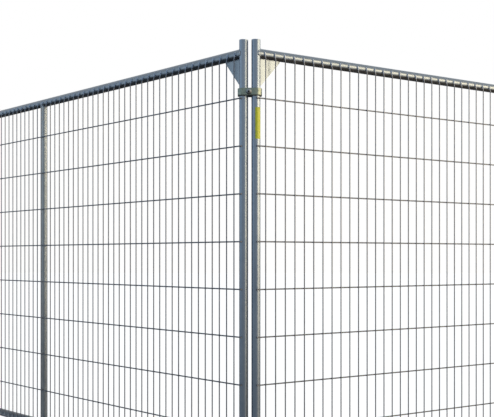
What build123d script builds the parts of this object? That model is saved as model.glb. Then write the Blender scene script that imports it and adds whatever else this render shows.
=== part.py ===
from build123d import *

import math
import os

# A corner of a mobile site fence: two welded wire mesh panels whose end posts stand side by side,
# held together by a bolted strap clamp. Millimetres, +Z up. The origin lies on the ground,
# midway between the two corner posts. +Y halves the corner and points into the fenced side, and
# the mesh is on the outer side of both panels.

# Panel frame
CORNER_ANGLE = 97.0
PANEL_SPAN = 3512.0
POST_HEIGHT = 2000.0
POST_DIAMETER = 38.0
POST_WALL = 2.0
LEG_HEIGHT = 163.0
POST_RISE = 57.0
RAIL_DIAMETER = 42.0
RAIL_WALL = 2.5
UPRIGHT_DIAMETER = 38.0
UPRIGHT_WALL = 2.0
GUSSET_RAIL_LEG = 102.0
GUSSET_POST_LEG = 113.0
GUSSET_NOSE = 4.0
GUSSET_THICKNESS = 4.0

# Mesh
WIRE_DIAMETER = 5.0
WIRE_PITCH = 50.0
WIRE_POST_GAP = 6.5
WIRE_PAST_RAIL = 5.0
WIRE_BEND_START = 6.0
WIRE_BEND_END = 24.0
LINE_DIAMETER = 6.0
LINE_PITCH = 200.0
LINE_END_GAP = 150.0
LINE_PAST_POST = 11.0

# Corner clamp
CLAMP_HEIGHT = 32.0
CLAMP_GUSSET_GAP = 14.0
CLAMP_LINE_GAP = 7.0
STRAP_THICKNESS = 6.0
STRAP_CLEARANCE = 0.3
STRAP_SPLIT = 5.0
STRAP_EDGE_RADIUS = 1.0
BOLT_DIAMETER = 12.0
BOLT_POST_GAP = 1.0
BOLT_HOLE_CLEARANCE = 0.5
BOLT_TIP = 4.0
HEAD_DIAMETER = 24.0
HEAD_HEIGHT = 6.6
HEAD_RIM = 1.4
SOCKET_ACROSS_FLATS = 8.0
SOCKET_DEPTH = 4.2
WASHER_DIAMETER = 24.0
WASHER_THICKNESS = 2.5
NUT_ACROSS_FLATS = 19.0
NUT_HEIGHT = 10.0
NUT_CLEARANCE = 0.05
NUT_CHAMFER = 1.2

# Plain label on the right corner post
LABEL_HEIGHT = 132.0
LABEL_LIFT = 27.0
LABEL_THICKNESS = 0.3
LABEL_GLUE = 0.05
LABEL_ARC = 84.0

# Radii and heights that follow
POST_RADIUS = POST_DIAMETER / 2
RAIL_RADIUS = RAIL_DIAMETER / 2
UPRIGHT_RADIUS = UPRIGHT_DIAMETER / 2
WIRE_RADIUS = WIRE_DIAMETER / 2
LINE_RADIUS = LINE_DIAMETER / 2
BOLT_RADIUS = BOLT_DIAMETER / 2
BOTTOM_RAIL_Z = LEG_HEIGHT
TOP_RAIL_Z = POST_HEIGHT - POST_RISE
CLAMP_TOP = TOP_RAIL_Z - RAIL_RADIUS - GUSSET_POST_LEG - CLAMP_GUSSET_GAP
CLAMP_BOTTOM = CLAMP_TOP - CLAMP_HEIGHT
CLAMP_MIDDLE = (CLAMP_TOP + CLAMP_BOTTOM) / 2

# Where the mesh lies, as distances in front of the posts' axes: the line wires touch the posts
# and the upright wires lie on the lines
LINE_OFFSET = POST_RADIUS + LINE_RADIUS
WIRE_OFFSET = LINE_OFFSET + LINE_RADIUS + WIRE_RADIUS
WIRE_RAIL_OFFSET = RAIL_RADIUS + WIRE_RADIUS
UPRIGHT_OFFSET = POST_RADIUS - UPRIGHT_RADIUS

# The lines start below the clamp and go down to the last one that leaves room above the bottom rail
TOP_LINE_Z = CLAMP_BOTTOM - CLAMP_LINE_GAP - LINE_RADIUS
LINE_COUNT = math.floor((TOP_LINE_Z - BOTTOM_RAIL_Z - LINE_END_GAP) / LINE_PITCH) + 1
LINE_HEIGHTS = [TOP_LINE_Z - LINE_PITCH * i for i in range(LINE_COUNT)]

# The upright wires fill the span evenly, as many as fit between the posts
WIRE_ROOM = PANEL_SPAN - 2 * (POST_RADIUS + WIRE_RADIUS + WIRE_POST_GAP)
WIRE_COUNT = math.floor(WIRE_ROOM / WIRE_PITCH) + 1
FIRST_WIRE_X = (PANEL_SPAN - WIRE_PITCH * (WIRE_COUNT - 1)) / 2

# The two corner posts leave room for the bolt between them
POST_SPACING = POST_DIAMETER + BOLT_DIAMETER + 2 * BOLT_POST_GAP
PANEL_TURN = 90 - CORNER_ANGLE / 2
STRAP_INNER_RADIUS = POST_RADIUS + STRAP_CLEARANCE
STRAP_OUTER_RADIUS = STRAP_INNER_RADIUS + STRAP_THICKNESS
BOLT_HOLE_RADIUS = BOLT_RADIUS + BOLT_HOLE_CLEARANCE
BOLT_LENGTH = 2 * STRAP_OUTER_RADIUS + WASHER_THICKNESS + NUT_HEIGHT + BOLT_TIP

ON_FLOOR = (Align.CENTER, Align.CENTER, Align.MIN)


def rod(radius, length, start, direction):
    """A solid round bar from a start point along a direction."""
    return Solid.make_cylinder(radius, length, Plane(origin=start, z_dir=direction))


def tube(diameter, wall, length, start, direction):
    """A round tube, open at both ends."""
    return rod(diameter / 2, length, start, direction) - rod(diameter / 2 - wall, length, start, direction)


def group(solids):
    """Separate solids kept together as one piece of the list."""
    return Compound(list(solids))


def post_core(x):
    """The full round of a post, used to cut what meets it."""
    return rod(POST_RADIUS, POST_HEIGHT, (x, 0, 0), (0, 0, 1))


def rail_core(z):
    """The full round of a rail, used to cut what meets it."""
    return rod(RAIL_RADIUS, PANEL_SPAN, (0, 0, z), (1, 0, 0))


def post(x):
    return tube(POST_DIAMETER, POST_WALL, POST_HEIGHT, (x, 0, 0), (0, 0, 1))


def rail(z):
    """A rail with both ends shaped round the posts."""
    whole = tube(RAIL_DIAMETER, RAIL_WALL, PANEL_SPAN, (0, 0, z), (1, 0, 0))
    return whole - post_core(0) - post_core(PANEL_SPAN)


def middle_upright():
    """The stiffening tube at mid span, its ends shaped to the rails."""
    start = (PANEL_SPAN / 2, -UPRIGHT_OFFSET, BOTTOM_RAIL_Z)
    whole = tube(UPRIGHT_DIAMETER, UPRIGHT_WALL, TOP_RAIL_Z - BOTTOM_RAIL_Z, start, (0, 0, 1))
    return whole - rail_core(BOTTOM_RAIL_Z) - rail_core(TOP_RAIL_Z)


def gusset(x, side):
    """A triangular plate in the corner of a post and the top rail; side is the way into the panel."""
    plate_top = TOP_RAIL_Z - RAIL_RADIUS
    plate_foot = plate_top - GUSSET_POST_LEG
    outline = [
        (x, TOP_RAIL_Z),
        (x + side * (POST_RADIUS + GUSSET_RAIL_LEG), TOP_RAIL_Z),
        (x + side * (POST_RADIUS + GUSSET_RAIL_LEG), plate_top - GUSSET_NOSE),
        (x + side * (POST_RADIUS + GUSSET_NOSE), plate_foot),
        (x, plate_foot),
    ]
    face = Plane.XZ * make_face(Polyline(*outline, close=True))
    plate = extrude(face, amount=GUSSET_THICKNESS / 2, both=True)
    return plate - post_core(x) - rail_core(TOP_RAIL_Z)


def upright_wire():
    """One upright wire at x = 0: in front of the lines, bent back at both rails and welded to them."""
    path = Polyline(
        (0, -WIRE_RAIL_OFFSET, BOTTOM_RAIL_Z - WIRE_PAST_RAIL),
        (0, -WIRE_RAIL_OFFSET, BOTTOM_RAIL_Z + WIRE_BEND_START),
        (0, -WIRE_OFFSET, BOTTOM_RAIL_Z + WIRE_BEND_END),
        (0, -WIRE_OFFSET, TOP_RAIL_Z - WIRE_BEND_END),
        (0, -WIRE_RAIL_OFFSET, TOP_RAIL_Z - WIRE_BEND_START),
        (0, -WIRE_RAIL_OFFSET, TOP_RAIL_Z + WIRE_PAST_RAIL),
    )
    section = Plane(origin=path @ 0, z_dir=path % 0) * Circle(WIRE_RADIUS)
    return sweep(section, path=path, transition=Transition.RIGHT).solid()


def vertical_wires():
    wire = upright_wire()
    places = [FIRST_WIRE_X + WIRE_PITCH * i for i in range(WIRE_COUNT)]
    return group(wire.moved(Location((x, 0, 0))) for x in places)


def line_wires():
    """A straight wire at each line height, across both posts."""
    length = PANEL_SPAN + 2 * LINE_PAST_POST
    starts = [(-LINE_PAST_POST, -LINE_OFFSET, z) for z in LINE_HEIGHTS]
    return group(rod(LINE_RADIUS, length, start, (1, 0, 0)) for start in starts)


def label():
    """A thin plain plate wrapped round the outer side of a post, above the second line."""
    foot = TOP_LINE_Z - LINE_PITCH + LINE_RADIUS + LABEL_LIFT
    reach = POST_DIAMETER
    spread = reach * math.tan(math.radians(LABEL_ARC / 2))
    front = make_face(Polyline((0, 0), (-spread, -reach), (spread, -reach), close=True))
    seat = POST_RADIUS + LABEL_GLUE
    ring = Circle(seat + LABEL_THICKNESS) - Circle(seat)
    return Pos(0, 0, foot) * extrude(ring & front, amount=LABEL_HEIGHT)


def panel_pieces():
    """Every piece of one panel in its own frame: corner post at x = 0, mesh towards -Y."""
    return {
        "corner_post": post(0),
        "end_post": post(PANEL_SPAN),
        "top_rail": rail(TOP_RAIL_Z),
        "bottom_rail": rail(BOTTOM_RAIL_Z),
        "middle_upright": middle_upright(),
        "corner_gusset": gusset(0, 1),
        "end_gusset": gusset(PANEL_SPAN, -1),
        "vertical_wires": vertical_wires(),
        "line_wires": line_wires(),
    }


def strap(side):
    """One half of the clamp: a flat strap bent round both corner posts; side -1 is the outer half."""
    outer = SlotCenterToCenter(POST_SPACING, 2 * STRAP_OUTER_RADIUS)
    inner = SlotCenterToCenter(POST_SPACING, 2 * STRAP_INNER_RADIUS)
    reach = POST_SPACING + 2 * STRAP_OUTER_RADIUS
    half = Pos(0, side * (STRAP_SPLIT / 2 + reach / 2)) * Rectangle(reach, reach)
    band = extrude((outer - inner) & half, amount=CLAMP_HEIGHT)
    rims = band.edges().filter_by(lambda edge: abs(edge.center().Z - CLAMP_HEIGHT / 2) > CLAMP_HEIGHT / 3)
    band = fillet(rims, min(STRAP_EDGE_RADIUS, STRAP_THICKNESS / 3))
    hole = rod(BOLT_HOLE_RADIUS, reach, (0, -reach / 2, CLAMP_HEIGHT / 2), (0, 1, 0))
    return Pos(0, 0, CLAMP_BOTTOM) * (band - hole)


def along_bolt(piece, distance):
    """Turns a piece made along +Z to the bolt's line, its base a distance behind the corner's middle."""
    return Location((0, distance, CLAMP_MIDDLE), (-90, 0, 0)) * piece


def bolt():
    """A button head bolt with a hexagon socket, its shank towards the fenced side."""
    head_radius = HEAD_DIAMETER / 2
    rise = HEAD_HEIGHT - HEAD_RIM
    dome_radius = (head_radius**2 + rise**2) / (2 * rise)
    dome = Pos(0, 0, dome_radius - HEAD_HEIGHT) * Sphere(dome_radius)
    blank = rod(head_radius, HEAD_HEIGHT, (0, 0, -HEAD_HEIGHT), (0, 0, 1)) & dome
    socket = Pos(0, 0, -HEAD_HEIGHT) * extrude(hexagon(SOCKET_ACROSS_FLATS), amount=SOCKET_DEPTH)
    shank = rod(BOLT_RADIUS, BOLT_LENGTH, (0, 0, 0), (0, 0, 1))
    return along_bolt((blank - socket) + shank, -STRAP_OUTER_RADIUS)


def hexagon(across_flats):
    return RegularPolygon(across_flats / 2, 6, major_radius=False)


def washer():
    hole = rod(BOLT_HOLE_RADIUS, WASHER_THICKNESS, (0, 0, 0), (0, 0, 1))
    ring = rod(WASHER_DIAMETER / 2, WASHER_THICKNESS, (0, 0, 0), (0, 0, 1)) - hole
    return along_bolt(ring, STRAP_OUTER_RADIUS)


def nut():
    """A hexagon nut, its corners chamfered on both faces."""
    corner_radius = NUT_ACROSS_FLATS / math.sqrt(3)
    round_blank = Cylinder(corner_radius, NUT_HEIGHT, align=ON_FLOOR)
    round_blank = chamfer(round_blank.edges().filter_by(GeomType.CIRCLE), NUT_CHAMFER / 2, NUT_CHAMFER)
    blank = extrude(hexagon(NUT_ACROSS_FLATS), amount=NUT_HEIGHT) & round_blank
    bore = rod(BOLT_RADIUS + NUT_CLEARANCE, NUT_HEIGHT, (0, 0, 0), (0, 0, 1))
    return along_bolt(blank - bore, STRAP_OUTER_RADIUS + WASHER_THICKNESS)


def at_corner(piece):
    """Carries a piece of the right panel from the panel's frame to its place at the corner."""
    return piece.moved(Location((POST_SPACING / 2, 0, 0), (0, 0, PANEL_TURN)))


def all_pieces():
    pieces = {}
    for name, piece in panel_pieces().items():
        right = at_corner(piece)
        pieces["right_" + name] = right
        pieces["left_" + name] = mirror(right, about=Plane.YZ)
    pieces["post_label"] = at_corner(label())
    pieces["clamp_front_strap"] = strap(-1)
    pieces["clamp_rear_strap"] = strap(1)
    pieces["clamp_bolt"] = bolt()
    pieces["clamp_washer"] = washer()
    pieces["clamp_nut"] = nut()
    return pieces


os.makedirs("parts", exist_ok=True)
for node, shape in all_pieces().items():
    export_step(shape, f"parts/{node}.step")
print("lines", LINE_COUNT, "upright wires", WIRE_COUNT, "first wire at", FIRST_WIRE_X)
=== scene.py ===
import math
import random

import bmesh
import bpy
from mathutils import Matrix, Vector


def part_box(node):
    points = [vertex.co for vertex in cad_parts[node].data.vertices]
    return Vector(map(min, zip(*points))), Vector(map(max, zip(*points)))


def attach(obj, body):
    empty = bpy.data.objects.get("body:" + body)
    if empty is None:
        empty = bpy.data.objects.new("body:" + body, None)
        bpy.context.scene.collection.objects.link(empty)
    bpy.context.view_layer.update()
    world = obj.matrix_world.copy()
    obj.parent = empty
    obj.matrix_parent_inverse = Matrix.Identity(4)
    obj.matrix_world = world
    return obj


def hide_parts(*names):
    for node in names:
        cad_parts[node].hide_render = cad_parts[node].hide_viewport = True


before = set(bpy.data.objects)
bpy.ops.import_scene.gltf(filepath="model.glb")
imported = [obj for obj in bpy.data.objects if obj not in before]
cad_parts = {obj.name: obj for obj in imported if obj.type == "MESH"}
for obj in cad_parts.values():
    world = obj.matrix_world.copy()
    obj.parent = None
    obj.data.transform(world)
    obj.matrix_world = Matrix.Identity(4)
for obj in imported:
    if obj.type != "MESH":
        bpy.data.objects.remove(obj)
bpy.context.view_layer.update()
random.seed(11)

# Frame tubes, in metres. The middle upright is the same tube as the posts.
POST_RADIUS = 0.019
POST_WALL = 0.002
RAIL_RADIUS = 0.021
RAIL_WALL = 0.0025
RIM = 0.0006
TUBE_SIDES = 48

# Gusset plates in the two top corners of each panel.
GUSSET_ON_RAIL = 0.102
GUSSET_ON_POST = 0.113
GUSSET_NOSE = 0.004
GUSSET_THICK = 0.004
GUSSET_EDGE = 0.0005
GUSSET_INTO_TUBE = 0.0015

# Mesh wires.
WIRE_RADIUS = 0.0025
WIRE_PITCH = 0.050
WIRE_PAST_RAIL = 0.005
WIRE_BEND_START = 0.006
WIRE_BEND_END = 0.024
LINE_RADIUS = 0.003
LINE_PITCH = 0.200
LINE_COUNT = 8
LINE_PAST_POST = 0.011
WIRE_SIDES = 12
WIRE_BURR = 0.0007

# Welds. A spot weld's three values are half its width, depth and height, and its rings lie at shares of
# that height.
TUBE_BEAD = 0.0022
PLATE_BEAD = 0.0016
RIPPLE = 0.14
RIPPLE_TURN = 1.7
BEAD_SIDES = 8
BEAD_STEP = 0.003
WIRE_SPOT = (0.0021, 0.0009, 0.0021)
RAIL_SPOT = (0.0062, 0.0020, 0.0070)
POST_SPOT = (0.0040, 0.0012, 0.0034)
SPOT_LIFT = 0.0003
SPOT_SIDES = 8
SPOT_RINGS = (-0.85, 0, 0.85)
RAIL_SPOT_RINGS = (-0.95, -0.75, -0.4, 0, 0.4, 0.75, 0.95)

# Clamp straps and their bolt.
STRAP_OUTSIDE = 0.0253
# Height of the band of painted shade along the straps' lower edge.
STRAP_SHADE_BAND = 0.005
BOLT_RADIUS = 0.006
BOLT_TIP = 0.0418
THREAD_START = 0.016
THREAD_PITCH = 0.00175
THREAD_DEPTH = 0.0008
THREAD_STEPS = 6
TIP_CHAMFER = 0.001
HEAD_RADIUS = 0.012
HEAD_HEIGHT = 0.0066
HEAD_RIM = 0.0014
SOCKET_FLATS = 0.008
SOCKET_DEPTH = 0.0042
BOLT_SIDES = 48
DOME_STEPS = 6

# Edges that turn by more degrees than these stay sharp.
SHARP = 40
PLATE_SHARP = 20
BOLT_SHARP = 30
WELD_SHARP = 80

# Colours, each from its darker to its lighter tone.
TUBE_ZINC = (0.135, 0.180, 0.235), (0.175, 0.225, 0.285)
# The rails' zinc is a darker, less blue copy of the tubes' zinc: painted shade.
RAIL_SHADED_ZINC = (0.122, 0.157, 0.193), (0.158, 0.196, 0.234)
# The middle upright's zinc is a lighter copy of the tubes' zinc, standing in for more light on it: painted
# light.
UPRIGHT_LIT_ZINC = (0.175, 0.222, 0.262), (0.225, 0.275, 0.315)
PLATE_ZINC = (0.135, 0.175, 0.214), (0.177, 0.220, 0.261)
WIRE_ZINC = (0.13, 0.15, 0.17), (0.20, 0.22, 0.24)
BEAD_ZINC = (0.165, 0.210, 0.260), (0.220, 0.270, 0.325)
WELD_ZINC = (0.16, 0.18, 0.20), (0.27, 0.29, 0.31)
# Lighter zinc painted on the wire tops: a painted highlight against their shade on the top rail.
WIRE_TOP_LIGHT = (0.30, 0.36, 0.43), (0.38, 0.45, 0.53)
WORN_ZINC = (0.28, 0.30, 0.26), (0.36, 0.37, 0.31)
PLATED_ZINC = (0.21, 0.24, 0.24), (0.30, 0.33, 0.325)
PASSIVATION = (0.120, 0.162, 0.138), (0.184, 0.232, 0.196)
# Darker zinc towards the ground, and painted shade on the zinc where it faces down.
FRAME_DARKENING_AND_SHADE = (0.014, 0.016, 0.019), (0.042, 0.044, 0.047)
# Painted shade along and under the clamp's lower edges.
CLAMP_SHADE = (0.012, 0.012, 0.010), (0.035, 0.034, 0.028)
# Painted shade in the bolt's socket and under the fasteners.
FASTENER_SHADE = (0.006, 0.006, 0.006), (0.020, 0.019, 0.017)
YELLOW = (0.36, 0.43, 0.016), (0.45, 0.52, 0.026)
DUST = (0.25, 0.27, 0.09), (0.35, 0.37, 0.13)
BLACK, WHITE = (0, 0, 0), (1, 1, 1)

# Wear, darkening and painted shade. Noise mostly stays inside its range. The zinc is darkened by a share at
# the lower of two heights and not at the higher one; painted shade covers all of it where the surface faces
# down by the first of two slopes. The wires are painted lighter from a height up, where their ends lie on
# the top rail.
NOISE_RANGE = (0.3, 0.7)
STREAKS = (60.0, 60.0, 4.0)
LOW_DARKENING_SHARE = 0.56
DARKENING_HEIGHTS = (0.5, 1.75)
UNDERSIDE_SHADE_SLOPES = (-0.58, -0.30)
SHADED_ROUGH = 0.85
# Painted shade on the clamp along its lower edge and where it faces down.
CLAMP_EDGE_SHADE_SHARE = 0.8
CLAMP_SHADE_SLOPES = (-0.5, -0.1)
# Painted shade on the fasteners in the bolt's socket and where they face down.
FASTENER_SHADE_SHARE = 0.9
FASTENER_SHADE_SLOPES = (-0.45, 0.15)
SOCKET_SHADE_RANGE = (0.3, 0.42)
ZINC_SPECULAR = 0.2
# Height from which the wires are painted lighter, and how far that fades in.
LIGHTER_FROM = 1.924
LIGHTER_FADE = 0.012

# Camera, fitted to the wires and posts in the photograph.
CAMERA_PLACE = (0.6243, -3.9360, 1.0881)
CAMERA_TURN = math.radians(5.8)
CAMERA_LENS = 69.09
CAMERA_SENSOR = 36.0
CAMERA_REACH = 200.0
CAMERA_SHIFT = (-0.1134, 0.0985)

# Light: a wide soft warm wall of light to the right, a faint blue one to the left, a soft sun high above,
# and a bluish sky.
WALL_AWAY = 14.0
WALL_SIZE = (18.5, 6.2)
RIGHT_TURN = math.radians(88)
RIGHT_RADIANCE = 9.8
RIGHT_COLOUR = (1.0, 0.72, 0.42)
LEFT_TURN = math.radians(-75)
LEFT_RADIANCE = 0.65
LEFT_COLOUR = (0.55, 0.80, 1.0)
SUN_TURN = math.radians(150)
SUN_HEIGHT = math.radians(78)
SUN_STRENGTH = 0.7
SUN_COLOUR = (1.0, 0.96, 0.9)
SUN_SPREAD = math.radians(9)
SKY_COLOUR = (0.23, 0.40, 0.68)
FLOOR_SIZE = 120.0
FLOOR_ROUGH = 0.9
FLOOR_SEEN = (0.86, 0.66, 0.48)
FLOOR_BOUNCE = (0.07, 0.07, 0.07)
FLOOR_GLOW = 0.63


def turn(sides):
    """Angles of a full turn in equal steps."""
    return [2 * math.pi * k / sides for k in range(sides)]


class Look:
    """A material with its shader and short ways to add nodes to it."""

    def __init__(self, name):
        self.material = bpy.data.materials.new(name)
        self.material.use_nodes = True
        self.tree = self.material.node_tree
        self.shader = self.tree.nodes["Principled BSDF"]
        self.place = self.add("TexCoord").outputs["Object"]

    def add(self, kind, **inputs):
        node = self.tree.nodes.new("ShaderNode" + kind)
        for name, value in inputs.items():
            node.inputs[name.replace("_", " ")].default_value = value
        return node

    def link(self, start, end):
        self.tree.links.new(start, end)

    def noise(self, scale, detail=3.0, stretch=None):
        """Noise between 0 and 1, stretched along the axes if asked for."""
        node = self.add("TexNoise", Scale=scale, Detail=detail, Roughness=0.6)
        start = self.place
        if stretch:
            mapping = self.add("Mapping", Scale=stretch)
            self.link(start, mapping.inputs["Vector"])
            start = mapping.outputs["Vector"]
        self.link(start, node.inputs["Vector"])
        return node.outputs["Fac"]

    def cells(self, scale):
        """A random tone for each crystal of a zinc skin."""
        node = self.add("TexVoronoi", Scale=scale)
        grey = self.add("RGBToBW")
        self.link(self.place, node.inputs["Vector"])
        self.link(node.outputs["Color"], grey.inputs["Color"])
        return grey.outputs["Val"]

    def blend(self, first, second, share):
        """A weighted mean of two tones."""
        node = self.add("Mix", Factor=share)
        self.link(first, node.inputs["A"])
        self.link(second, node.inputs["B"])
        return node.outputs["Result"]

    def ramp(self, tone, colours):
        """The darker of two colours where the tone is low, and the lighter one where it is high."""
        node = self.add("ValToRGB")
        for stop, place, colour in zip(node.color_ramp.elements, NOISE_RANGE, colours):
            stop.position, stop.color = place, (*colour, 1)
        self.link(tone, node.inputs["Fac"])
        return node.outputs["Color"]

    def scaled(self, tone, low, high, start=0.0, end=1.0):
        """The tone from start to end brought to the range from low to high."""
        node = self.add("MapRange", From_Min=start, From_Max=end, To_Min=low, To_Max=high)
        self.link(tone, node.inputs["Value"])
        return node.outputs["Result"]

    def over(self, under, top, mask):
        """One colour over another where the mask is high."""
        node = self.add("Mix")
        node.data_type = "RGBA"
        self.link(mask, node.inputs["Factor"])
        self.link(under, node.inputs[6])
        self.link(top, node.inputs[7])
        return node.outputs[2]

    def height(self):
        node = self.add("SeparateXYZ")
        self.link(self.place, node.inputs["Vector"])
        return node.outputs["Z"]

    def facing_up(self):
        node = self.add("SeparateXYZ")
        self.link(self.add("NewGeometry").outputs["Normal"], node.inputs["Vector"])
        return node.outputs["Z"]

    def near(self, place, reach):
        """1 at a place, falling to 0 at this distance from it."""
        mapping = self.add("Mapping", Location=[-p / reach for p in place], Scale=[1 / reach] * 3)
        node = self.add("TexGradient")
        node.gradient_type = "SPHERICAL"
        self.link(self.place, mapping.inputs["Vector"])
        self.link(mapping.outputs["Vector"], node.inputs["Vector"])
        return node.outputs["Fac"]

    def most(self, first, second):
        node = self.add("Math")
        node.operation = "MAXIMUM"
        self.link(first, node.inputs[0])
        self.link(second, node.inputs[1])
        return node.outputs["Value"]

    def product(self, first, second):
        node = self.add("Math")
        node.operation = "MULTIPLY"
        self.link(first, node.inputs[0])
        self.link(second, node.inputs[1])
        return node.outputs["Value"]

    def bump(self, tone, strength, depth):
        node = self.add("Bump", Strength=strength, Distance=depth)
        self.link(tone, node.inputs["Height"])
        self.link(node.outputs["Normal"], self.shader.inputs["Normal"])

    def finish(self, colour, roughness, metallic, specular):
        """Sets the shader. Metallic is a plain number or changes over the surface."""
        self.link(colour, self.shader.inputs["Base Color"])
        self.link(roughness, self.shader.inputs["Roughness"])
        self.shader.inputs["Specular IOR Level"].default_value = specular
        if isinstance(metallic, float):
            self.shader.inputs["Metallic"].default_value = metallic
        else:
            self.link(metallic, self.shader.inputs["Metallic"])
        return self.material


def galvanised(name, colours, crystal, rough, metal, lighter_from=None):
    """Weathered zinc: crystals, cloudy patches, rain streaks, darker towards the ground, and painted shade,
    without metal sheen, where it faces down.

    From the height in the last argument up, if it is given, the zinc is painted lighter, as a painted
    highlight.
    """
    look = Look(name)
    crystals = look.cells(crystal)
    patches = look.noise(7.0, 4.0)
    streaks = look.noise(1.0, 3.0, STREAKS)
    tone = look.blend(look.blend(crystals, patches, 0.75), streaks, 0.4)
    # Darker towards the ground by height, and painted shade, with the metal sheen taken off, where the
    # surface faces down.
    darkening_and_shade = look.ramp(look.noise(30.0), FRAME_DARKENING_AND_SHADE)
    low = look.scaled(look.height(), LOW_DARKENING_SHARE, 0.0, *DARKENING_HEIGHTS)
    under = look.scaled(look.facing_up(), 1.0, 0.0, *UNDERSIDE_SHADE_SLOPES)
    uneven = look.scaled(look.noise(9.0, 4.0), 0.86, 1.0, *NOISE_RANGE)
    skin = look.over(look.ramp(tone, colours), darkening_and_shade, look.product(look.most(low, under), uneven))
    # Painted highlight: lighter zinc from a height up.
    if lighter_from:
        lighter_top = look.scaled(look.height(), 0.0, 1.0, lighter_from, lighter_from + LIGHTER_FADE)
        skin = look.over(skin, look.ramp(crystals, WIRE_TOP_LIGHT), lighter_top)
    bare_rough = look.scaled(crystals, rough - 0.04, rough + 0.06)
    roughness = look.most(bare_rough, look.scaled(under, rough, SHADED_ROUGH))
    look.bump(look.blend(crystals, look.noise(700.0, 2.0), 0.6), strength=0.06, depth=0.0003)
    return look.finish(skin, roughness, metallic=look.scaled(under, metal, 0.0), specular=ZINC_SPECULAR)


def passivated():
    """Olive yellow passivation on zinc, thin and paler in patches, with painted shade along and under its
    lower edges.
    """
    look = Look("clamp_passivated")
    clouds = look.noise(95.0, 4.0)
    worn = look.scaled(look.noise(160.0, 5.0), 0.0, 0.8, 0.58, 0.72)
    film = look.over(look.ramp(clouds, PASSIVATION), look.ramp(look.noise(300.0), WORN_ZINC), worn)
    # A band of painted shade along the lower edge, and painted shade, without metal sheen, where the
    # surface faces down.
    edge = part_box("clamp_front_strap")[0].z
    heights = (edge + STRAP_SHADE_BAND / 2, edge + STRAP_SHADE_BAND)
    low = look.scaled(look.height(), CLAMP_EDGE_SHADE_SHARE, 0.0, *heights)
    under = look.most(low, look.scaled(look.facing_up(), 1.0, 0.0, *CLAMP_SHADE_SLOPES))
    skin = look.over(film, look.ramp(look.noise(400.0), CLAMP_SHADE), under)
    film_rough = look.scaled(clouds, 0.42, 0.30, *NOISE_RANGE)
    roughness = look.most(film_rough, look.scaled(under, 0.30, SHADED_ROUGH))
    look.bump(look.noise(1100.0, 2.0), strength=0.08, depth=0.0003)
    return look.finish(skin, roughness, metallic=look.scaled(under, 0.5, 0.0), specular=0.4)


def zinc_plated():
    """Bright zinc, with painted shade in the bolt's socket and on what faces down."""
    look = Look("fastener_zinc")
    zinc = look.ramp(look.noise(260.0, 4.0), PLATED_ZINC)
    # Painted shade, without metal sheen, in the bolt's socket and where the surface faces down.
    socket_and_under_shade = look.ramp(look.noise(600.0), FASTENER_SHADE)
    head = middle_of("clamp_front_strap").z
    socket = look.near((0, -STRAP_OUTSIDE - HEAD_HEIGHT + SOCKET_DEPTH, head), SOCKET_FLATS)
    under = look.scaled(look.facing_up(), FASTENER_SHADE_SHARE, 0.0, *FASTENER_SHADE_SLOPES)
    shaded_share = look.most(look.scaled(socket, 0.0, 1.0, *SOCKET_SHADE_RANGE), under)
    roughness = look.scaled(look.noise(500.0), 0.48, 0.64, *NOISE_RANGE)
    look.bump(look.noise(1500.0, 2.0), strength=0.06, depth=0.0002)
    skin = look.over(zinc, socket_and_under_shade, shaded_share)
    return look.finish(skin, roughness, metallic=look.scaled(shaded_share, 0.4, 0.0), specular=0.3)


def yellow_film():
    """Plain yellow film, faded and dusty in patches."""
    look = Look("label_film")
    faded = look.noise(38.0, 3.0)
    dusty = look.scaled(look.noise(75.0, 5.0), 0.0, 0.45, 0.52, 0.75)
    skin = look.over(look.ramp(faded, YELLOW), look.ramp(look.noise(180.0), DUST), dusty)
    roughness = look.scaled(faded, 0.32, 0.48, *NOISE_RANGE)
    look.bump(look.noise(420.0, 2.0), strength=0.05, depth=0.0003)
    return look.finish(skin, roughness, metallic=0.0, specular=0.3)


class Shape:
    """Points and faces, gathered until their piece is made."""

    def __init__(self):
        self.points = []
        self.faces = []

    def loft(self, rings, closed=False):
        """A skin over rings of equally many points, with flat ends unless the last ring joins the first."""
        first, sides = len(self.points), len(rings[0])
        for ring in rings:
            self.points.extend(ring)
        steps = [(k, k + 1) for k in range(len(rings) - 1)]
        if closed:
            steps.append((len(rings) - 1, 0))
        for a, b in steps:
            for k in range(sides):
                n = (k + 1) % sides
                corners = (a * sides + k, a * sides + n, b * sides + n, b * sides + k)
                self.faces.append(tuple(first + c for c in corners))
        if not closed:
            last = first + (len(rings) - 1) * sides
            self.faces.append(tuple(first + k for k in reversed(range(sides))))
            self.faces.append(tuple(last + k for k in range(sides)))


def piece(name, shape, body, material, node=None, sharp=SHARP):
    mesh = bpy.data.meshes.new(name)
    mesh.from_pydata(shape.points, [], shape.faces)
    work = bmesh.new()
    work.from_mesh(mesh)
    bmesh.ops.recalc_face_normals(work, faces=work.faces)
    work.to_mesh(mesh)
    work.free()
    mesh.shade_smooth()
    mesh.set_sharp_from_angle(angle=math.radians(sharp))
    mesh.materials.append(material)
    made = bpy.data.objects.new(name, mesh)
    bpy.context.scene.collection.objects.link(made)
    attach(made, body)
    if node:
        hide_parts(node)


def middle_of(node):
    low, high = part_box(node)
    return (low + high) / 2


class Panel:
    """One panel's own directions: along it from the corner post, and to the front, where the mesh is."""

    def __init__(self, side):
        near, far = middle_of(f"{side}_corner_post"), middle_of(f"{side}_end_post")
        self.body = f"{side}_panel"
        self.start = Vector((near.x, near.y, 0))
        self.span = (far - near).length
        self.along = (far - near) / self.span
        self.front = Vector((self.along.y, -self.along.x, 0)) * math.copysign(1, self.along.x)
        self.top = middle_of(f"{side}_top_rail").z
        self.bottom = middle_of(f"{side}_bottom_rail").z
        self.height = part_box(f"{side}_corner_post")[1].z
        self.top_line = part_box(f"{side}_line_wires")[1].z - LINE_RADIUS

    def at(self, along, front, z):
        return self.start + self.along * along + self.front * front + Vector((0, 0, z))

    def far(self, along, from_far):
        return self.span - along if from_far else along


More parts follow.
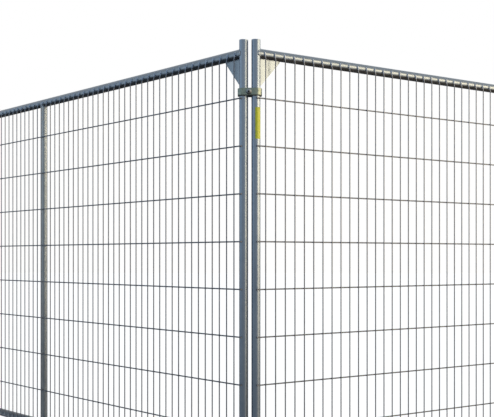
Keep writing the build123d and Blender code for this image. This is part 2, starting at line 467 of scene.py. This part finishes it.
def post(panel, from_far):
    inside = POST_RADIUS - POST_WALL
    rim_in, rim_out = inside + RIM, POST_RADIUS - RIM
    top = panel.height
    profile = [
        (POST_RADIUS, RIM), (POST_RADIUS, top - RIM), (rim_out, top), (rim_in, top),
        (inside, top - RIM), (inside, RIM), (rim_in, 0), (rim_out, 0),
    ]
    middle = panel.far(0, from_far)
    rings = [
        [panel.at(middle + r * math.cos(a), r * math.sin(a), z) for a in turn(TUBE_SIDES)]
        for r, z in profile
    ]
    shape = Shape()
    shape.loft(rings, closed=True)
    return shape


def cope(front, radius):
    """How far a round tube's face stands out from its axis at this place to the front."""
    return math.sqrt(max(0.0, radius**2 - front**2))


def rail(panel, z):
    inside = RAIL_RADIUS - RAIL_WALL
    rings = []
    for radius, from_far in ((RAIL_RADIUS, False), (RAIL_RADIUS, True), (inside, True), (inside, False)):
        ring = []
        for a in turn(TUBE_SIDES):
            front = radius * math.cos(a)
            along = panel.far(cope(front, POST_RADIUS), from_far)
            ring.append(panel.at(along, front, z + radius * math.sin(a)))
        rings.append(ring)
    shape = Shape()
    shape.loft(rings, closed=True)
    return shape


def upright_ring(panel, radius, z, way):
    """Points round the middle upright's end, shaped to the rail at this height."""
    ring = []
    for a in turn(TUBE_SIDES):
        front = radius * math.sin(a)
        along = panel.span / 2 + radius * math.cos(a)
        ring.append(panel.at(along, front, z + way * cope(front, RAIL_RADIUS)))
    return ring


def upright(panel):
    inside = POST_RADIUS - POST_WALL
    ends = (
        (POST_RADIUS, panel.bottom, 1), (POST_RADIUS, panel.top, -1),
        (inside, panel.top, -1), (inside, panel.bottom, 1),
    )
    shape = Shape()
    shape.loft([upright_ring(panel, *end) for end in ends], closed=True)
    return shape


def gusset(panel, from_far):
    """A plate with softened edges, its two legs set slightly into the tubes."""
    post_face, rail_face = POST_RADIUS, panel.top - RAIL_RADIUS
    hidden_post, hidden_rail = post_face - GUSSET_INTO_TUBE, rail_face + GUSSET_INTO_TUBE
    tip_along, tip_z = post_face + GUSSET_ON_RAIL, rail_face - GUSSET_ON_POST
    outline = [
        (hidden_post, tip_z), (post_face + GUSSET_NOSE, tip_z), (tip_along, rail_face - GUSSET_NOSE),
        (tip_along, hidden_rail), (hidden_post, hidden_rail),
    ]
    centre_along = sum(p[0] for p in outline) / len(outline)
    centre_z = sum(p[1] for p in outline) / len(outline)
    half = GUSSET_THICK / 2
    rings = []
    for front, edge in (
        (half, GUSSET_EDGE), (half - GUSSET_EDGE, 0), (GUSSET_EDGE - half, 0), (-half, GUSSET_EDGE),
    ):
        ring = []
        for along, z in outline:
            along += math.copysign(edge, centre_along - along)
            z += math.copysign(edge, centre_z - z)
            ring.append(panel.at(panel.far(along, from_far), front, z))
        rings.append(ring)
    shape = Shape()
    shape.loft(rings)
    return shape


def wire_places(panel):
    """Where the upright wires stand along the panel: as many as fit, with even ends."""
    count = int(panel.span / WIRE_PITCH)
    first = (panel.span - WIRE_PITCH * (count - 1)) / 2
    return [first + WIRE_PITCH * k for k in range(count)]


def line_heights(panel):
    return [panel.top_line - LINE_PITCH * k for k in range(LINE_COUNT)]


def mesh_fronts():
    """Axes of the line wires, on the posts, and of the upright wires on them."""
    line = POST_RADIUS + LINE_RADIUS
    return line, line + LINE_RADIUS + WIRE_RADIUS


def upright_wires(panel):
    mesh_front, rail_front = mesh_fronts()[1], RAIL_RADIUS + WIRE_RADIUS
    low_end, high_end = panel.bottom - WIRE_PAST_RAIL, panel.top + WIRE_PAST_RAIL
    path = [
        (rail_front, low_end, WIRE_RADIUS - WIRE_BURR), (rail_front, low_end + WIRE_BURR, WIRE_RADIUS),
        (rail_front, panel.bottom + WIRE_BEND_START, WIRE_RADIUS),
        (mesh_front, panel.bottom + WIRE_BEND_END, WIRE_RADIUS),
        (mesh_front, panel.top - WIRE_BEND_END, WIRE_RADIUS),
        (rail_front, panel.top - WIRE_BEND_START, WIRE_RADIUS),
        (rail_front, high_end - WIRE_BURR, WIRE_RADIUS), (rail_front, high_end, WIRE_RADIUS - WIRE_BURR),
    ]
    shape = Shape()
    for place in wire_places(panel):
        shape.loft([
            [panel.at(place + r * math.cos(a), front + r * math.sin(a), z) for a in turn(WIRE_SIDES)]
            for front, z, r in path
        ])
    return shape


def line_wires(panel):
    front = mesh_fronts()[0]
    start, end = -LINE_PAST_POST, panel.span + LINE_PAST_POST
    path = [
        (start, LINE_RADIUS - WIRE_BURR), (start + WIRE_BURR, LINE_RADIUS),
        (end - WIRE_BURR, LINE_RADIUS), (end, LINE_RADIUS - WIRE_BURR),
    ]
    shape = Shape()
    for z in line_heights(panel):
        shape.loft([
            [panel.at(along, front + r * math.cos(a), z + r * math.sin(a)) for a in turn(WIRE_SIDES)]
            for along, r in path
        ])
    return shape


def bead(shape, path, radius, closed=False):
    """A weld bead along the path, with the ripples of its run."""
    count = len(path)
    rings = []
    side = None
    for k, point in enumerate(path):
        before = path[k - 1] if closed or k else point
        after = path[(k + 1) % count] if closed or k < count - 1 else point
        ahead = (after - before).normalized()
        side = ahead.orthogonal() if side is None else side - ahead * side.dot(ahead)
        side.normalize()
        up = ahead.cross(side)
        r = radius * (1 + RIPPLE * math.sin(k * RIPPLE_TURN) + RIPPLE * (random.random() - 0.5))
        rings.append([point + (side * math.cos(a) + up * math.sin(a)) * r for a in turn(BEAD_SIDES)])
    shape.loft(rings, closed=closed)


def run(panel, start, end, from_far):
    """Points of a straight bead between two places of the panel."""
    (a, front_a, z_a), (b, front_b, z_b) = start, end
    steps = max(2, int(math.dist(start, end) / BEAD_STEP))
    points = []
    for k in range(steps + 1):
        s = k / steps
        along = panel.far(a + (b - a) * s, from_far)
        points.append(panel.at(along, front_a + (front_b - front_a) * s, z_a + (z_b - z_a) * s))
    return points


def spot(shape, panel, along, front, z, size, lifts=SPOT_RINGS):
    """A resistance weld's nugget, rounded towards its top and bottom."""
    wide, deep, tall = size
    rings = []
    for lift in lifts:
        share = math.sqrt(1 - lift**2)
        ring = []
        for a in turn(SPOT_SIDES):
            ring.append(panel.at(
                along + wide * share * math.cos(a), front + deep * share * math.sin(a), z + tall * lift,
            ))
        rings.append(ring)
    shape.loft(rings)


def tube_welds(panel):
    shape = Shape()
    half = GUSSET_THICK / 2
    rail_face = panel.top - RAIL_RADIUS
    for from_far in (False, True):
        for z in (panel.bottom, panel.top):
            path = []
            for a in turn(TUBE_SIDES):
                front = RAIL_RADIUS * math.cos(a)
                along = panel.far(cope(front, POST_RADIUS), from_far)
                path.append(panel.at(along, front, z + RAIL_RADIUS * math.sin(a)))
            bead(shape, path, TUBE_BEAD, closed=True)
        for front in (-half, half):
            corner = (POST_RADIUS, front, rail_face)
            foot = (POST_RADIUS, front, rail_face - GUSSET_ON_POST + PLATE_BEAD)
            tip = (POST_RADIUS + GUSSET_ON_RAIL - PLATE_BEAD, front, rail_face)
            bead(shape, run(panel, foot, corner, from_far), PLATE_BEAD)
            bead(shape, run(panel, corner, tip, from_far), PLATE_BEAD)
    for z, way in ((panel.bottom, 1), (panel.top, -1)):
        bead(shape, upright_ring(panel, POST_RADIUS, z, way), TUBE_BEAD, closed=True)
        for place in wire_places(panel):
            spot(shape, panel, place, RAIL_RADIUS + SPOT_LIFT, z, RAIL_SPOT, RAIL_SPOT_RINGS)
    return shape


def wire_welds(panel):
    line, wire = mesh_fronts()
    shape = Shape()
    for place in wire_places(panel):
        for z in line_heights(panel):
            spot(shape, panel, place, (line + wire) / 2, z, WIRE_SPOT)
    for z in line_heights(panel):
        for along in (0, panel.span / 2, panel.span):
            spot(shape, panel, along, POST_RADIUS + SPOT_LIFT, z, POST_SPOT)
    return shape


def hexagon_radius(angle, flats):
    """Distance from the middle of a hexagon to its edge in this direction."""
    sector = math.pi / 3
    return flats / 2 / math.cos((angle + sector / 2) % sector - sector / 2)


def bolt():
    centre = middle_of("clamp_bolt")
    head_face = -STRAP_OUTSIDE
    dome_base = head_face - HEAD_RIM
    dome_rise = HEAD_HEIGHT - HEAD_RIM
    dome_radius = (HEAD_RADIUS**2 + dome_rise**2) / (2 * dome_rise)
    socket_floor = head_face - HEAD_HEIGHT + SOCKET_DEPTH

    def dome(r):
        return dome_base - dome_rise + dome_radius - math.sqrt(dome_radius**2 - r**2)

    def ring(radius_at, place_at):
        points = []
        for a in turn(BOLT_SIDES):
            r = radius_at(a)
            points.append(Vector((r * math.cos(a), place_at(a, r), centre.z + r * math.sin(a))))
        return points

    def socket(a):
        return hexagon_radius(a, SOCKET_FLATS)

    rings = [ring(socket, lambda a, r: socket_floor)]
    for k in range(DOME_STEPS + 1):
        s = k / DOME_STEPS
        rings.append(ring(lambda a: socket(a) * (1 - s) + HEAD_RADIUS * s, lambda a, r: dome(r)))
    rings.append(ring(lambda a: HEAD_RADIUS, lambda a, r: head_face))
    rings.append(ring(lambda a: BOLT_RADIUS, lambda a, r: head_face))
    step = THREAD_PITCH / THREAD_STEPS
    count = int((BOLT_TIP - THREAD_START) / step)
    for k in range(count + 1):
        y = BOLT_TIP - (count - k) * step
        tip = BOLT_RADIUS - max(0.0, y - (BOLT_TIP - TIP_CHAMFER))

        def groove(a):
            phase = ((y - THREAD_START) / THREAD_PITCH - a / (2 * math.pi)) % 1
            return min(tip, BOLT_RADIUS - THREAD_DEPTH * abs(2 * phase - 1) * min(1.0, k / THREAD_STEPS))

        rings.append(ring(groove, lambda a, r: y))
    shape = Shape()
    shape.loft(rings)
    return shape


tube_zinc = galvanised("tube_zinc", TUBE_ZINC, crystal=130.0, rough=0.34, metal=0.75)
# The rails' zinc is painted darker than the posts': painted shade.
rail_shaded_zinc = galvanised("rail_shaded_zinc", RAIL_SHADED_ZINC, crystal=130.0, rough=0.36, metal=0.75)
# The upright's zinc is painted lighter than the posts' to stand in for more light.
upright_lit_zinc = galvanised("upright_lit_zinc", UPRIGHT_LIT_ZINC, crystal=130.0, rough=0.30, metal=0.75)
plate_zinc = galvanised("plate_zinc", PLATE_ZINC, crystal=110.0, rough=0.32, metal=0.75)
wire_zinc = galvanised("wire_zinc", WIRE_ZINC, crystal=260.0, rough=0.42, metal=0.24, lighter_from=LIGHTER_FROM)
bead_zinc = galvanised("bead_zinc", BEAD_ZINC, crystal=420.0, rough=0.34, metal=0.75)
weld_zinc = galvanised("weld_zinc", WELD_ZINC, crystal=420.0, rough=0.42, metal=0.24)
clamp_skin = passivated()
fastener_skin = zinc_plated()
label_skin = yellow_film()

for side in ("left", "right"):
    panel = Panel(side)
    for end, from_far in (("corner", False), ("end", True)):
        piece(f"{side}_{end}_post_tube", post(panel, from_far), panel.body, tube_zinc,
              f"{side}_{end}_post")
        piece(f"{side}_{end}_gusset_plate", gusset(panel, from_far), panel.body, plate_zinc,
              f"{side}_{end}_gusset", PLATE_SHARP)
    for place, z in (("top", panel.top), ("bottom", panel.bottom)):
        piece(f"{side}_{place}_rail_tube", rail(panel, z), panel.body, rail_shaded_zinc,
              f"{side}_{place}_rail")
    piece(f"{side}_upright_tube", upright(panel), panel.body, upright_lit_zinc,
          f"{side}_middle_upright")
    piece(f"{side}_upright_wires", upright_wires(panel), panel.body, wire_zinc,
          f"{side}_vertical_wires")
    piece(f"{side}_lines", line_wires(panel), panel.body, wire_zinc,
          f"{side}_line_wires")
    piece(f"{side}_tube_welds", tube_welds(panel), panel.body, bead_zinc, sharp=WELD_SHARP)
    piece(f"{side}_wire_welds", wire_welds(panel), panel.body, weld_zinc, sharp=WELD_SHARP)

piece("clamp_bolt_threaded", bolt(), "clamp", fastener_skin, "clamp_bolt", BOLT_SHARP)

for node, skin in (
    ("clamp_front_strap", clamp_skin), ("clamp_rear_strap", clamp_skin),
    ("clamp_washer", fastener_skin), ("clamp_nut", fastener_skin), ("post_label", label_skin),
):
    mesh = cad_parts[node].data
    mesh.materials.clear()
    mesh.materials.append(skin)


def seen_or_not(tree, hidden, shown):
    """One colour for camera, glossy and transmission rays, which show it, and another for the rest."""
    path = tree.nodes.new("ShaderNodeLightPath")
    seen = path.outputs["Is Camera Ray"]
    for name in ("Is Glossy Ray", "Is Transmission Ray"):
        either = tree.nodes.new("ShaderNodeMath")
        either.operation = "MAXIMUM"
        tree.links.new(seen, either.inputs[0])
        tree.links.new(path.outputs[name], either.inputs[1])
        seen = either.outputs["Value"]
    tones = tree.nodes.new("ShaderNodeMix")
    tones.data_type = "RGBA"
    tones.inputs[6].default_value = (*hidden, 1)
    tones.inputs[7].default_value = (*shown, 1)
    tree.links.new(seen, tones.inputs["Factor"])
    return tones.outputs[2]


def make_floor():
    half = FLOOR_SIZE / 2
    mesh = bpy.data.meshes.new("floor")
    corners = [(-half, -half, 0), (half, -half, 0), (half, half, 0), (-half, half, 0)]
    mesh.from_pydata(corners, [], [range(len(corners))])
    look = bpy.data.materials.new("floor_white")
    look.use_nodes = True
    tree = look.node_tree
    shader = tree.nodes["Principled BSDF"]
    shader.inputs["Roughness"].default_value = FLOOR_ROUGH
    shader.inputs["Specular IOR Level"].default_value = 0.0
    shader.inputs["Emission Strength"].default_value = FLOOR_GLOW
    tones = ((FLOOR_BOUNCE, FLOOR_SEEN, "Base Color"), (BLACK, WHITE, "Emission Color"))
    for hidden, shown, socket in tones:
        tree.links.new(seen_or_not(tree, hidden, shown), shader.inputs[socket])
    mesh.materials.append(look)
    floor = bpy.data.objects.new("floor", mesh)
    bpy.context.scene.collection.objects.link(floor)
    return floor


def make_world():
    world = bpy.data.worlds.new("studio")
    world.use_nodes = True
    tree = world.node_tree
    tree.links.new(seen_or_not(tree, SKY_COLOUR, WHITE), tree.nodes["Background"].inputs["Color"])
    bpy.context.scene.world = world


def towards(turned, raised):
    """Direction at an angle to the right of the front, and above the level."""
    flat = math.cos(raised)
    return Vector((flat * math.sin(turned), -flat * math.cos(turned), math.sin(raised)))


def make_lights(floor):
    """The sun and two walls of light, which leave the floor alone so that it stays evenly white."""
    unlit = bpy.data.collections.new("unlit")
    unlit.objects.link(floor)
    unlit.collection_objects[0].light_linking.link_state = "EXCLUDE"
    sun = bpy.data.lights.new("sun", "SUN")
    sun.energy = SUN_STRENGTH
    sun.color = SUN_COLOUR
    sun.angle = SUN_SPREAD
    lamps = [(sun, towards(SUN_TURN, SUN_HEIGHT))]
    for name, turned, radiance, colour in (
        ("right_wall", RIGHT_TURN, RIGHT_RADIANCE, RIGHT_COLOUR),
        ("left_wall", LEFT_TURN, LEFT_RADIANCE, LEFT_COLOUR),
    ):
        wall = bpy.data.lights.new(name, "AREA")
        wall.shape = "RECTANGLE"
        wall.size, wall.size_y = WALL_SIZE
        wall.energy = radiance * math.pi * WALL_SIZE[0] * WALL_SIZE[1]
        wall.color = colour
        lamps.append((wall, towards(turned, 0)))
    for lamp, direction in lamps:
        light = bpy.data.objects.new(lamp.name, lamp)
        light.location = direction * WALL_AWAY + Vector((0, 0, WALL_SIZE[1] / 2))
        light.rotation_euler = direction.to_track_quat("Z", "Y").to_euler()
        light.visible_camera = False
        if lamp != sun:
            light.light_linking.receiver_collection = unlit
        bpy.context.scene.collection.objects.link(light)


def make_camera():
    data = bpy.data.cameras.new("camera")
    data.sensor_width = CAMERA_SENSOR
    data.sensor_fit = "HORIZONTAL"
    data.lens = CAMERA_LENS
    data.shift_x, data.shift_y = CAMERA_SHIFT
    data.clip_end = CAMERA_REACH
    camera = bpy.data.objects.new("camera", data)
    camera.location = CAMERA_PLACE
    camera.rotation_euler = (math.pi / 2, 0, CAMERA_TURN)
    bpy.context.scene.collection.objects.link(camera)
    bpy.context.scene.camera = camera


make_world()
make_lights(make_floor())
make_camera()
bpy.context.scene.view_settings.view_transform = "Standard"
